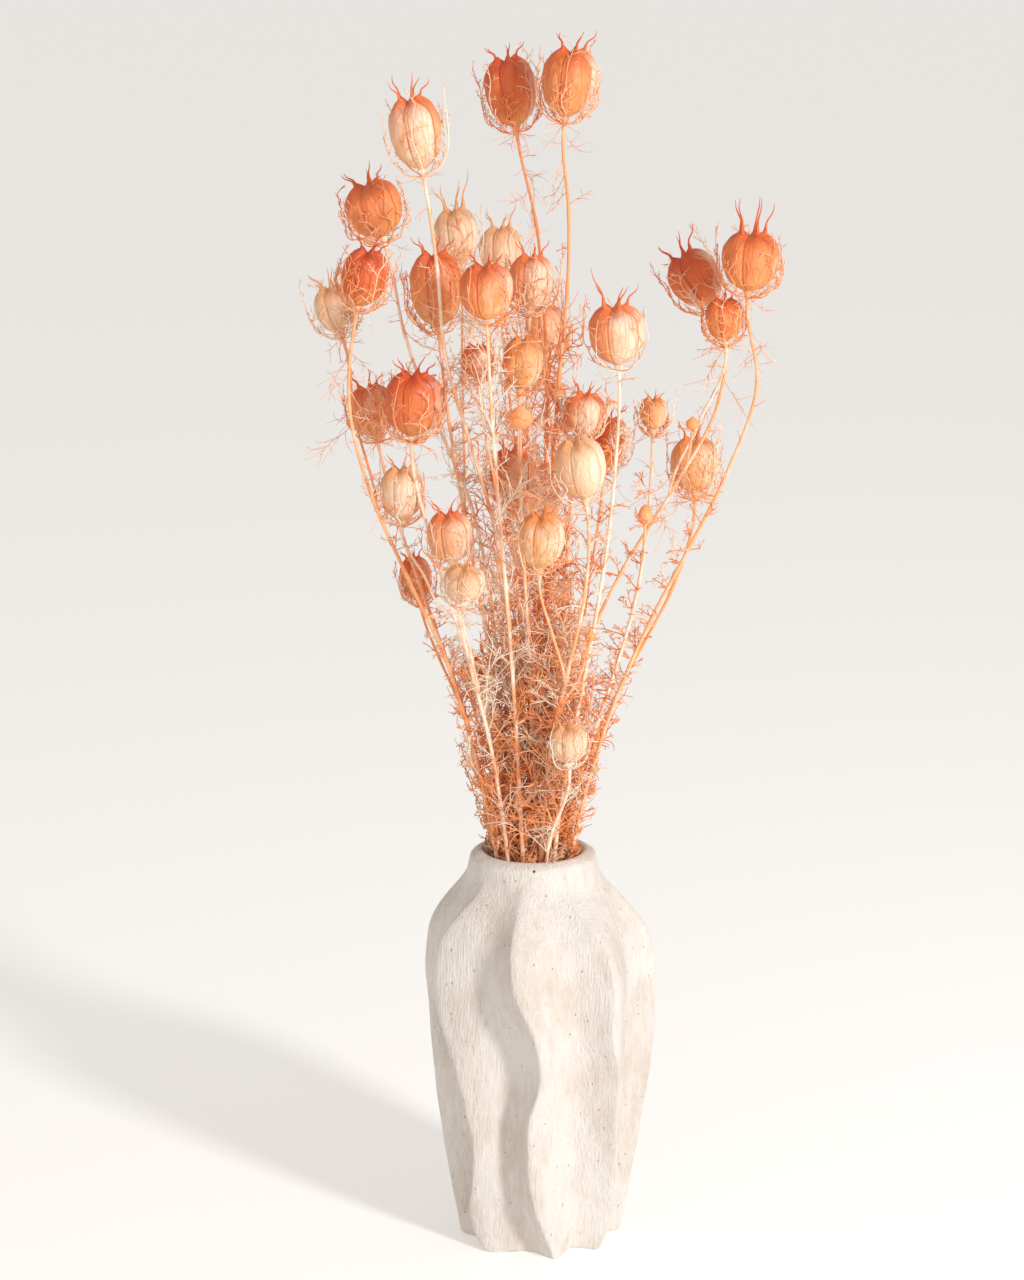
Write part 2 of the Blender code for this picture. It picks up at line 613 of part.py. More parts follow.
def make_pod(number, pod):
    """A pod: a lobed papery body, with a horn drawn up from the top of each lobe."""
    draw = random.Random(300 + number)
    mesh = bmesh.new()
    rings = []
    for share in POD_RINGS:
        ring = []
        for k in range(2 * LOBES):
            radius = level(POD_PROFILE, share) * pod.radius
            if k % 2:
                radius *= 1 - SEAM_DEPTH * (0.3 + 0.7 * math.sin(math.pi * share / 1.2))
            angle = math.pi * k / LOBES
            ring.append(mesh.verts.new(horn_point(angle, radius, share * pod.height, 0)))
        rings.append(ring)
    mesh.faces.new(rings[0])
    for low, high in zip(rings, rings[1:]):
        for n in range(2 * LOBES):
            m = (n + 1) % (2 * LOBES)
            mesh.faces.new([low[n], low[m], high[m], high[n]])
    middle = mesh.verts.new(Vector((0, 0, 0.95 * pod.height)) * MM)
    top = rings[-1]
    for lobe in range(LOBES):
        angle = 2 * math.pi * lobe / LOBES
        length = pod.horn * draw.uniform(*HORN_LENGTH)
        flare = draw.uniform(*HORN_FLARE) * length
        sections = [horn_section(mesh, angle, HORN_ROOT * pod.radius, 0.99 * pod.height, HORN_SIZES[0])]
        if pod.horn >= LONG_HORN:
            out = 0.5 * pod.radius + 0.35 * flare
            sections.append(horn_section(mesh, angle, out, pod.height + 0.5 * length, HORN_SIZES[1]))
        tip = mesh.verts.new(horn_point(angle, 0.5 * pod.radius + flare, pod.height + length, 0))
        left, crest, right = top[2 * lobe - 1], top[2 * lobe], top[2 * lobe + 1]
        low = sections[0]
        mesh.faces.new([left, crest, low[1], low[0]])
        mesh.faces.new([crest, right, low[2], low[1]])
        mesh.faces.new([right, middle, low[2]])
        mesh.faces.new([middle, low[0], low[2]])
        mesh.faces.new([middle, left, low[0]])
        for n in range(3):
            m = (n + 1) % 3
            for lower, higher in zip(sections, sections[1:]):
                mesh.faces.new([lower[n], lower[m], higher[m], higher[n]])
            mesh.faces.new([sections[-1][n], sections[-1][m], tip])
    bmesh.ops.recalc_face_normals(mesh, faces=mesh.faces)
    thing = add_object(f"pod_{number:02d}", mesh, pod.tint)
    turn = Matrix((pod.across, pod.along, pod.axis)).transposed()
    thing.matrix_world = Matrix.Translation(Vector(pod.base) * MM) @ turn.to_4x4()


def horn_point(angle, out, up, side):
    """A point out from the pod's axis, up it, and off to the side of the lobe's middle."""
    return Vector((out * math.cos(angle) - side * math.sin(angle),
                   out * math.sin(angle) + side * math.cos(angle), up)) * MM


def horn_section(mesh, angle, out, up, size):
    """The three corners of a horn's section: left, outward and right."""
    return [mesh.verts.new(horn_point(angle, out - 0.5 * size, up, -0.87 * size)),
            mesh.verts.new(horn_point(angle, out + size, up, 0)),
            mesh.verts.new(horn_point(angle, out - 0.5 * size, up, 0.87 * size))]


def make_plant(number, stems, pods, buds):
    """One plant: its main stem, with its side stems and buds joined to it in one body."""
    group = bpy.data.collections.new("branches")
    bpy.context.scene.collection.children.link(group)
    body = None
    for stem in stems:
        if stem.plant == number:
            name = "side_stem" if body else f"stem_{number + 1:02d}"
            thing = add_object(name, stem_mesh(stem, pods[stem.pod]), "stem", group if body else None)
            body = body or thing
    for owner, path, radii in buds:
        if owner == number:
            add_object("bud", bud_mesh(path, radii), "stem", group)
    if group.objects:
        union = body.modifiers.new("joined", "BOOLEAN")
        union.operation = "UNION"
        union.solver = "MANIFOLD"
        union.operand_type = "COLLECTION"
        union.collection = group
        bpy.context.view_layer.objects.active = body
        bpy.ops.object.modifier_apply(modifier=union.name)
    for thing in list(group.objects):
        bpy.data.objects.remove(thing)
    bpy.data.collections.remove(group)


def make_part():
    """The whole part: the vase, every pod, and every plant's stems."""
    for thing in list(bpy.data.objects):
        bpy.data.objects.remove(thing)
    pods = [Pod(row) for row in PODS]
    make_vase()
    for number, pod in enumerate(pods, start=1):
        make_pod(number, pod)
    stems = lay_out(pods)
    space = Space(pods, stems)
    buds = lay_buds(stems, space)
    lay_bracts(pods, stems, space)
    lay_leaves(stems, space)
    for number in range(len(PLANTS)):
        make_plant(number, stems, pods, buds)


make_part()
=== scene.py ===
"""Dried nigella seed pods standing in a ridged clay vase, as fine pieces in place of the plain ones."""
import json
import math
import random

import bpy
import numpy as np
from mathutils import Matrix, Vector, noise

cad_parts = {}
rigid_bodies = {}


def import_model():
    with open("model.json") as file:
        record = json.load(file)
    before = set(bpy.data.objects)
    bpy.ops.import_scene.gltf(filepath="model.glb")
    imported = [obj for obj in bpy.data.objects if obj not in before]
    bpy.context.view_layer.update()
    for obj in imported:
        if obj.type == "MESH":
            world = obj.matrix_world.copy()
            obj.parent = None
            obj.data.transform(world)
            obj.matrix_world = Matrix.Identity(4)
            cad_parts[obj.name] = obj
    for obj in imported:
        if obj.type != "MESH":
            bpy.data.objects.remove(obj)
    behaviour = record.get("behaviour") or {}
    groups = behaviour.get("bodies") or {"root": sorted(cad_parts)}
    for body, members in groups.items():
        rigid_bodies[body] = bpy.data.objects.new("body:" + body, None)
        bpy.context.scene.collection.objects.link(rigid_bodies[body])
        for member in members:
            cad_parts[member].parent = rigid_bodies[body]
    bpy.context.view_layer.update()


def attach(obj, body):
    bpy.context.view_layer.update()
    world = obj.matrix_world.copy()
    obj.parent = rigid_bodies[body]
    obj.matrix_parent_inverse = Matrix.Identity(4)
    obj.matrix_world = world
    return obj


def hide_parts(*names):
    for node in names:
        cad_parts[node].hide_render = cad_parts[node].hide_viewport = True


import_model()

# The vase: thick off-white clay, built up by hand over eight wandering upright ridges, combed
# downwards while soft and fired unglazed. Lengths here and below are in millimetres.
MM = 0.001
VASE_HEIGHT = 181.0
RIDGE_RADIUS = [(0, 36.0), (13, 38.8), (37, 42.9), (61, 46.8), (85, 49.4), (109, 51.4), (123, 52.0),
                (137, 50.5), (147, 47.6), (156, 41.7), (161, 37.3), (166, 32.9), (171, 29.8),
                (176, 28.4), (179.5, 27.0), (181, 24.6)]
VALLEY_DEPTH = [(0, 9.0), (12, 9.5), (40, 11.0), (80, 12.5), (120, 12.0), (140, 10.0), (151, 7.5),
                (160, 4.5), (168, 1.6), (173, 0.0), (181, 0.0)]
HOLLOW_RADIUS = [(8, 20.0), (30, 23.5), (90, 30.0), (133, 29.5), (150, 22.5), (166, 19.6),
                 (178, 20.6), (181, 22.8)]
NECK_LEAN = [(0, 0.0), (130, 0.0), (171, -3.2), (181, -3.2)]
WAVE_LEFT = [(0, 11), (7, 2), (18, -1), (30, 5), (48, 10), (65, 8), (92, -1), (117, -13), (144, -10),
             (170, 7)]
WAVE_FRONT = [(0, 17), (29, 2), (53, -1), (71, 0), (85, 5), (109, 3), (130, -6), (146, -7), (172, -2)]
WAVE_SIDE = [(0, -4), (20, -6), (50, 3), (85, 2), (120, 6), (146, -2), (172, -2)]
WAVE_RIGHT = [(0, 4), (6, 10), (31, 10), (62, 2), (85, 1), (108, -5), (134, -3), (148, -5), (170, -14)]
RIDGES = [(-53, WAVE_LEFT), (-7, WAVE_FRONT), (42, WAVE_RIGHT), (92, WAVE_SIDE), (138, WAVE_RIGHT),
          (183, WAVE_LEFT), (228, WAVE_FRONT), (270, WAVE_RIGHT)]
WAVE_TOP = 176.0
VALLEY_AT = 0.6
VALLEY_ROUND = 0.4
CREST_ROUND = 0.005
CREST_CROWD = 0.11
STEPS_PER_RIDGE = 26
FOOT_EDGE = (0.965, 0.985)
PINHOLE = (-3.0 * MM, -27.5 * MM, 178.3 * MM)


def curve(knots, at):
    """Values at the positions `at` on a smooth curve through knots of (position, value, ...)."""
    knots = np.asarray(knots, float)
    place, value = knots[:, 0], knots[:, 1:]
    step = np.diff(place)
    rise = np.diff(value, axis=0) / step[:, None]
    inner = (step[1:, None] * rise[:-1] + step[:-1, None] * rise[1:]) / (step[1:] + step[:-1])[:, None]
    slope = np.vstack([rise[:1], inner, rise[-1:]])
    at = np.clip(np.atleast_1d(at).astype(float), place[0], place[-1])
    i = np.clip(np.searchsorted(place, at, side="right") - 1, 0, len(step) - 1)
    width = step[i][:, None]
    s = (at - place[i])[:, None] / width
    return ((1 + 2 * s) * (1 - s) ** 2 * value[i] + s * (1 - s) ** 2 * width * slope[i]
            + s * s * (3 - 2 * s) * value[i + 1] + s * s * (s - 1) * width * slope[i + 1])


def level(knots, at):
    """One value of a curve of (position, value) knots."""
    return float(curve(knots, at)[0, 0])


class Wire:
    """A value on its way through a material; sums and products of wires add the nodes they need."""

    def __init__(self, tree, socket):
        self.tree, self.socket = tree, socket

    def add(self, kind, settings=(), sockets=(), output=0):
        """Any node at all, given its settings and what goes into its sockets."""
        node = self.tree.nodes.new(kind)
        for name, value in dict(settings).items():
            setattr(node, name, value)
        for name, value in dict(sockets).items():
            if isinstance(value, Wire):
                self.tree.links.new(value.socket, node.inputs[name])
            else:
                node.inputs[name].default_value = value
        return Wire(self.tree, node.outputs[output])

    def maths(self, operation, first, second=0.0):
        return self.add("ShaderNodeMath", {"operation": operation}, {0: first, 1: second})

    def __add__(self, other):
        return self.maths("ADD", self, other)

    def __sub__(self, other):
        return self.maths("SUBTRACT", self, other)

    def __mul__(self, other):
        return self.maths("MULTIPLY", self, other)

    def __rmul__(self, other):
        return self.maths("MULTIPLY", other, self)

    def ramp(self, low, high, start=0.0, end=1.0):
        """This value taken from between low and high to between start and end, eased and held there."""
        return self.add("ShaderNodeMapRange", {"interpolation_type": "SMOOTHSTEP"},
                        {"Value": self, "From Min": low, "From Max": high, "To Min": start, "To Max": end})

    def mix(self, low, high):
        """The colour between low and high that this value says."""
        return self.add("ShaderNodeMix", {"data_type": "RGBA"}, {0: self, 6: low, 7: high}, 2)

    def stretch(self, x, y, z):
        """This place, scaled along each axis."""
        return self.add("ShaderNodeVectorMath", {"operation": "MULTIPLY"}, {0: self, 1: (x, y, z)})

    def grain(self, size, detail=4.0, rough=0.55):
        """Cloudy noise with features of a size in millimetres, about 0.5."""
        return self.add("ShaderNodeTexNoise", (), {"Vector": self, "Scale": 1000.0 / size,
                                                   "Detail": detail, "Roughness": rough})

    def cells(self, size, feature, output=0):
        """Cells of a size in millimetres: the distance to their middles or to their edges."""
        return self.add("ShaderNodeTexVoronoi", {"feature": feature},
                        {"Vector": self, "Scale": 1000.0 / size}, output)

    def bump(self, strength, distance):
        """This height as a bump of the surface, its depth given in millimetres."""
        return self.add("ShaderNodeBump", (), {"Strength": strength, "Distance": distance * MM,
                                               "Height": self})


def material(name):
    """A new material: itself, the place on the piece as a wire, and a way to finish it."""
    made = bpy.data.materials.new(name)
    made.use_nodes = True
    tree = made.node_tree
    surface = tree.nodes["Principled BSDF"]
    place = Wire(tree, None).add("ShaderNodeTexCoord", output=3)

    def finish(**sockets):
        for socket, value in sockets.items():
            target = surface.inputs[socket.replace("_", " ")]
            if isinstance(value, Wire):
                tree.links.new(value.socket, target)
            else:
                target.default_value = value

    return made, place, finish


def add_piece(name, points, faces, finish, values=(), matrix=None):
    """A smooth mesh piece, given its points in millimetres and any values its corners carry."""
    mesh = bpy.data.meshes.new(name)
    mesh.from_pydata(np.asarray(points, float) * MM, [], faces)
    mesh.shade_smooth()
    for label, value in dict(values).items():
        mesh.attributes.new(label, "FLOAT", "POINT").data.foreach_set("value", np.asarray(value, float))
    mesh.materials.append(finish)
    piece = bpy.data.objects.new(name, mesh)
    if matrix is not None:
        piece.matrix_world = matrix
    bpy.context.scene.collection.objects.link(piece)
    return piece


def vase_ring(height, hollow):
    """One ring of the vase: over the ridges and valleys outside, round inside."""
    lean = level(NECK_LEAN, height)
    crests = [mean + level(wave, min(height, WAVE_TOP)) for mean, wave in RIDGES]
    ring = []
    for k, crest in enumerate(crests):
        span = (crests[(k + 1) % len(crests)] - crest) % 360
        for even in np.arange(STEPS_PER_RIDGE) / STEPS_PER_RIDGE:
            share = even - CREST_CROWD * math.sin(2 * math.pi * even)
            angle = math.radians(crest + span * share)
            skewed = share ** (math.log(0.5) / math.log(VALLEY_AT))
            swell = math.sin(math.pi * skewed)
            valley = (swell * swell + CREST_ROUND) ** VALLEY_ROUND - CREST_ROUND ** VALLEY_ROUND
            valley /= (1 + CREST_ROUND) ** VALLEY_ROUND - CREST_ROUND ** VALLEY_ROUND
            radius = level(RIDGE_RADIUS, height) - level(VALLEY_DEPTH, height) * valley
            if hollow:
                radius = level(HOLLOW_RADIUS, height)
            point = Vector((lean + radius * math.sin(angle), -radius * math.cos(angle), height))
            uneven = 0.35 * noise.noise(point * 0.06) + 0.12 * noise.noise(point * 0.25)
            if height > 1.0:
                point += uneven * Vector((math.sin(angle), -math.cos(angle), 0.0))
            ring.append(point)
    return ring


heights = np.concatenate([[0.0, 0.35, 1.2], np.arange(3.0, 150.0, 1.6), np.arange(150.0, 176.0, 0.9),
                          [176.5, 177.5, 178.5, 179.4, 180.1, 180.6, 180.9]])
rings = [vase_ring(height, False) for height in heights]
for ring, share in zip(rings, FOOT_EDGE):
    for point in ring:
        point.x *= share
        point.y *= share
rings.append([0.5 * (low + high) + Vector((0, 0, 0.3)) for low, high in
              zip(vase_ring(180.9, False), vase_ring(180.8, True))])
rings += [vase_ring(height, True)
          for height in (180.8, 180.4, 179.7, 178.8, 177.5, *range(175, 8, -4), 8)]
around = len(rings[0])
faces = [(r * around + n, r * around + (n + 1) % around, (r + 1) * around + (n + 1) % around,
          (r + 1) * around + n) for r in range(len(rings) - 1) for n in range(around)]
faces.append(tuple(range(around))[::-1])
faces.append(tuple(range((len(rings) - 1) * around, len(rings) * around)))
clay, place, finish = material("unglazed off-white clay")
combed = place.stretch(1.0, 1.0, 0.14).grain(0.9, 4.0, 0.6)
brushed = place.stretch(1.0, 1.0, 0.3).grain(4.0, 4.0)
patches = place.stretch(1.0, 1.0, 0.6).grain(30.0, 3.0)
pits = place.stretch(1.0, 1.0, 0.6)
kept = place.add("ShaderNodeSeparateColor", (), {"Color": pits.cells(2.6, "F1", 1)})
specks = pits.cells(2.6, "F1").ramp(0.15, 0.06) * kept.ramp(0.70, 0.78)
# The pinhole is only a small dent in the bump; its near-black colour is painted shade inside it.
pinhole = place.add("ShaderNodeVectorMath", {"operation": "DISTANCE"}, {0: place, 1: PINHOLE}, 1)
pinhole_shade = pinhole.ramp(0.0008, 0.0004)
mottle = 0.5 * patches + 0.2 * combed + 0.3 * brushed
body = mottle.ramp(0.36, 0.60).mix((0.70, 0.61, 0.53, 1), (0.83, 0.78, 0.73, 1))
dotted = (specks * 0.55).mix(body, (0.42, 0.31, 0.23, 1))
finish(Base_Color=pinhole_shade.mix(dotted, (0.03, 0.02, 0.015, 1)), Roughness=0.92,
       Normal=(combed * 0.8 + brushed * 0.5 + place.grain(0.9) * 0.25 - specks * 0.5 - pinhole_shade).bump(1.0, 1.3))
vase = add_piece("clay_vase", [point for ring in rings for point in ring], faces, clay)
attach(vase, "root")
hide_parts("vase")

# The seed pods: papery capsules of five joined chambers, blown up and dried on the ends of their
# stems, with a seam down each side of a chamber and a curved horn, the old style of the flower,
# standing on top of each.

# Each pod: the place of its foot (x, y, z), height, width, lean in degrees, length of its horns, tint.
PODS = [
    (-11, 35, 497, 30, 22, -9, 6, "deep"), (10, 10, 503, 29, 23, 6, 7, "orange"),
    (-50, -35, 485, 30, 21, -10, 8, "peach"), (-68, 0, 453, 24, 24, -17, 7, "orange"),
    (-77, -35, 428, 24, 19, 12, 6, "deep"), (-87, 20, 409, 21, 17, -15, 8, "cream"),
    (-36, 50, 435, 25, 19, -6, 11, "cream"), (-44, -5, 415, 32, 22, -4, 7, "orange"),
    (-18, 68, 427, 23, 19, 0, 7, "cream"), (-23, -48, 424, 23, 22, -2, 5, "orange"),
    (-5, 10, 420, 24, 19, 2, 6, "peach"), (32, -40, 404, 25, 23, -4, 8, "peach"),
    (74, 25, 421, 25, 22, -32, 9, "deep"), (88, -10, 431, 25, 24, 3, 15, "orange"),
    (79, -5, 409, 18, 16, -4, 5, "orange"), (-27, -32, 397, 14, 13, -3, 3, "orange"),
    (-9, -25, 391, 22, 17, 4, 5, "ochre"), (3, 65, 394, 21, 18, -3, 6, "peach"),
    (-73, 45, 359, 23, 20, -11, 6, "orange"), (-55, -30, 372, 27, 24, 2, 6, "deep"),
    (17, 5, 366, 19, 18, 8, 5, "peach"), (29, 60, 342, 23, 20, 4, 5, "deep"),
    (18, -52, 349, 26, 21, -9, 3, "cream"), (49, 15, 367, 14, 12, 1, 3, "ochre"),
    (69, 40, 334, 25, 21, -1, 7, "ochre"), (-13, -12, 341, 22, 19, 1, 6, "orange"),
    (-60, -22, 334, 23, 18, 0, 5, "cream"), (-38, -40, 319, 22, 19, -5, 5, "peach"),
    (-54, 40, 285, 20, 14, -10, 4, "orange"), (-33, -64, 307, 16, 17, 3, 4, "cream"),
    (-1, -64, 322, 23, 19, 2, 6, "ochre"), (12, -36, 230, 17, 16, -3, 4, "cream"),
    (-30, 25, 247, 15, 11, -3, 3, "orange"), (-5, 55, 319, 18, 16, -6, 4, "orange"),
]
POD_PROFILE = [(0, 0.18), (0.1, 0.58), (0.36, 0.97), (0.6, 1.04), (0.75, 0.99), (0.9, 0.72), (1, 0.3)]
LOBES = 5
SEAM_DEPTH = 0.12
DEPTH_LEAN = 0.1
# Pods with one horn longer than the rest: which horn, and how long.
LONG_HORNS = {3: (4, 11.0), 7: (0, 16.0), 9: (0, 11.0), 12: (3, 17.0), 14: (1, 14.0)}
POD_AROUND = 60
POD_UP = 34
CROWN_FROM = 0.72
HORN_STEPS = 13


class Pod:
    """A seed pod's place: its base, its axis and two directions across it."""

    def __init__(self, row):
        x, y, z, self.height, width, lean, self.horn, self.tint = row
        self.radius = width / 2
        self.base = np.array([x, y, z], float)
        self.axis = np.array([math.tan(math.radians(lean)), math.tan(math.radians(DEPTH_LEAN * y)), 1.0])
        self.axis /= np.linalg.norm(self.axis)
        self.across = np.cross([0.0, 1.0, 0.0], self.axis)
        self.across /= np.linalg.norm(self.across)
        self.along = np.cross(self.axis, self.across)

    def point(self, angle, distance, up):
        """A point at an angle round the axis, a distance out from it and a height up it."""
        side = math.cos(angle) * self.across + math.sin(angle) * self.along
        return self.base + distance * side + up * self.axis

    def reach(self, up):
        """How far the pod and its horns reach out from the axis at the heights `up`."""
        body = curve(POD_PROFILE, up / self.height)[:, 0] * self.radius
        crown = 0.5 * self.radius + 0.8 * np.clip(up - self.height, 0, self.horn)
        reach = np.where(up > self.height, crown, body)
        return np.where((up < -1.0) | (up > self.height + self.horn), -10.0, reach)


class Strands:
    """Round strands gathered into one mesh, each with a tone and with how far up it a corner is."""

    def __init__(self):
        self.points, self.faces, self.tones, self.ups, self.count = [], [], [], [], 0

    def lay(self, path, radii, sides, tone, ups=None):
        """A strand along a path, with a radius at each point of it, closed at both ends."""
        path, radii = np.asarray(path, float), np.asarray(radii, float)
        ahead = np.gradient(path, axis=0)
        ahead /= np.linalg.norm(ahead, axis=1)[:, None] + 1e-9
        spare = np.eye(3)[int(np.argmin(np.abs(path[-1] - path[0])))]
        across = np.cross(ahead, spare)
        across /= np.linalg.norm(across, axis=1)[:, None] + 1e-9
        along = np.cross(ahead, across)
        angles = 2 * math.pi * np.arange(sides) / sides
        rings = path[:, None] + radii[:, None, None] * (np.cos(angles)[:, None] * across[:, None]
                                                        + np.sin(angles)[:, None] * along[:, None])
        first, rows = self.count, len(path)
        self.points.append(rings.reshape(-1, 3))
        for r in range(rows - 1):
            low, high = first + r * sides, first + (r + 1) * sides
            self.faces += [(low + n, low + (n + 1) % sides, high + (n + 1) % sides, high + n)
                           for n in range(sides)]
        self.faces.append(tuple(range(first, first + sides))[::-1])
        self.faces.append(tuple(range(first + (rows - 1) * sides, first + rows * sides)))
        self.tones += [tone] * (rows * sides)
        self.ups += list(np.repeat(np.linspace(0, 1, rows) if ups is None else ups, sides))
        self.count += rows * sides

    def piece(self, name, finish):
        return add_piece(name, np.vstack(self.points), self.faces, finish,
                         {"tone": self.tones, "up": self.ups})


def own_value(wire, name):
    """A value carried by the corners of the mesh itself."""
    return wire.add("ShaderNodeAttribute", {"attribute_name": name}, output=2)


def smooth_path(knots, count):
    """Points evenly along a smooth curve through the knots."""
    knots = np.asarray(knots, float)
    run = np.append(0, np.cumsum(np.linalg.norm(np.diff(knots, axis=0), axis=1)))
    return curve(np.column_stack([run, knots]), np.linspace(0, run[-1], count))


def pod_piece(number, pod):
    """One pod as a fine mesh in its own frame, with the values its skin is coloured by."""
    draw = random.Random(300 + number)
    lobe_tone = [draw.uniform(-1, 1) for _ in range(LOBES)]
    crease = [draw.uniform(0.4, 1.6) for _ in range(LOBES)]
    shift = Vector((draw.uniform(-50, 50), draw.uniform(-50, 50), draw.uniform(-50, 50)))
    painted_light_side = Vector((pod.across[0], pod.along[0], pod.axis[0]))
    points, ups, seams, tones = [], [], [], []
    for up in 0.5 - 0.5 * np.cos(math.pi * np.linspace(0, 1, POD_UP)):
        for n in range(POD_AROUND):
            angle = 2 * math.pi * n / POD_AROUND
            part_of_lobe = (angle / (2 * math.pi) * LOBES + 0.5) % 1.0 - 0.5
            lobe = int(angle / (2 * math.pi) * LOBES + 0.5) % LOBES
            to_seam = abs(part_of_lobe) * 2
            radius = level(POD_PROFILE, up) * pod.radius
            groove = SEAM_DEPTH * (0.3 + 0.7 * math.sin(math.pi * up / 1.2))
            radius *= 1 - groove * (0.4 * to_seam ** 2 + 0.45 * to_seam ** 7)
            fold = math.exp(-(part_of_lobe / 0.05) ** 2)
            radius *= 1 - 0.03 * crease[lobe] * fold * math.sin(math.pi * up)
            crown = max(0.0, (up - CROWN_FROM) / (1 - CROWN_FROM))
            crest = max(0.0, math.cos(math.pi * part_of_lobe)) ** 3
            radius *= 1 + 0.38 * crown ** 2 * (crest - 0.35)
            height = up * pod.height * (1 - 0.03 * crown ** 2)
            height += 0.08 * pod.height * crown ** 2 * (crest - 0.3)
            place = Vector((radius * math.cos(angle), radius * math.sin(angle), height))
            dent = 0.028 * pod.radius * noise.noise((place + shift) * 0.16) * math.sin(math.pi * min(up, 1))
            dent += 0.012 * pod.radius * noise.noise((place + shift) * 0.5)
            place.x += dent * math.cos(angle)
            place.y += dent * math.sin(angle)
            points.append(place)
            ups.append(up)
            seams.append(to_seam)
            # A lobe's tone is partly its own random tone and partly painted light: higher, so paler, where
            # the skin faces +x, the side the key light stands on, and lower, so deeper, on the far side.
            facing_painted_light = Vector((math.cos(angle), math.sin(angle), 0)).dot(painted_light_side)
            tones.append(0.55 * lobe_tone[lobe] + 0.45 * facing_painted_light)
    faces = [(r * POD_AROUND + n, r * POD_AROUND + (n + 1) % POD_AROUND,
              (r + 1) * POD_AROUND + (n + 1) % POD_AROUND, (r + 1) * POD_AROUND + n)
             for r in range(POD_UP - 1) for n in range(POD_AROUND)]
    faces.append(tuple(range(POD_AROUND))[::-1])
    points.append(Vector((0, 0, 0.93 * pod.height)))
    ups.append(1.0)
    seams.append(0.5)
    tones.append(0.0)
    last, rim = len(points) - 1, (POD_UP - 1) * POD_AROUND
    faces += [(rim + n, rim + (n + 1) % POD_AROUND, last) for n in range(POD_AROUND)]
    horns = Strands()
    draw = random.Random(300 + number)
    for lobe in range(LOBES):
        angle = 2 * math.pi * lobe / LOBES
        length = pod.horn * draw.uniform(0.75, 1.2)
        if lobe == LONG_HORNS.get(number, (LOBES, 0))[0]:
            length = LONG_HORNS[number][1]
        flare = draw.uniform(0.3, 0.7) * min(length, 8.0)
        out = 0.44 * pod.radius
        stations = [(out - 1.2, 0.90 * pod.height), (out, 0.99 * pod.height),
                    (out + 0.22 * flare, pod.height + 0.35 * length),
                    (0.5 * pod.radius + 0.85 * flare, pod.height + 0.72 * length),
                    (0.5 * pod.radius + 1.05 * flare, pod.height + length)]
        hook = random.Random(lobe + 10 * number).uniform(-0.9, 0.9)
        knots = [(o * math.cos(angle + hook * k * k * 0.02), o * math.sin(angle + hook * k * k * 0.02), h)
                 for k, (o, h) in enumerate(stations)]
        path = smooth_path(knots, HORN_STEPS)
        radii = np.interp(np.linspace(0, 1, HORN_STEPS),
                          [0, 0.2, 0.4, 0.75, 1], [1.5, 0.95, 0.40, 0.27, 0.1])
        radii *= min(1.0, 0.06 * pod.radius + 0.35)
        horns.lay(path, radii, 8, 0.0, np.linspace(1.0, 1.6, HORN_STEPS))
    faces += [tuple(corner + len(points) for corner in face) for face in horns.faces]
    points = np.vstack([np.array(points), *horns.points])
    ups += horns.ups
    seams += [0.0] * horns.count
    tones += [0.0] * horns.count
    turn = Matrix((pod.across, pod.along, pod.axis)).transposed()
    where = Matrix.Translation(Vector(pod.base) * MM) @ turn.to_4x4()
    kinds = [0.37 * number] * len(ups)
    return points, faces, {"up": ups, "seam": seams, "tone": tones, "kind": kinds}, where


# The colours of each tint: crown, middle and foot.
SKINS = {
    "deep": ((0.66, 0.09, 0.02), (0.78, 0.19, 0.05), (0.80, 0.34, 0.10)),
    "orange": ((0.74, 0.13, 0.03), (0.85, 0.30, 0.10), (0.85, 0.42, 0.15)),
    "ochre": ((0.79, 0.25, 0.06), (0.85, 0.42, 0.17), (0.84, 0.45, 0.18)),
    "peach": ((0.79, 0.18, 0.05), (0.87, 0.41, 0.20), (0.86, 0.45, 0.20)),
    "cream": ((0.80, 0.38, 0.17), (0.89, 0.63, 0.43), (0.86, 0.51, 0.28)),
}


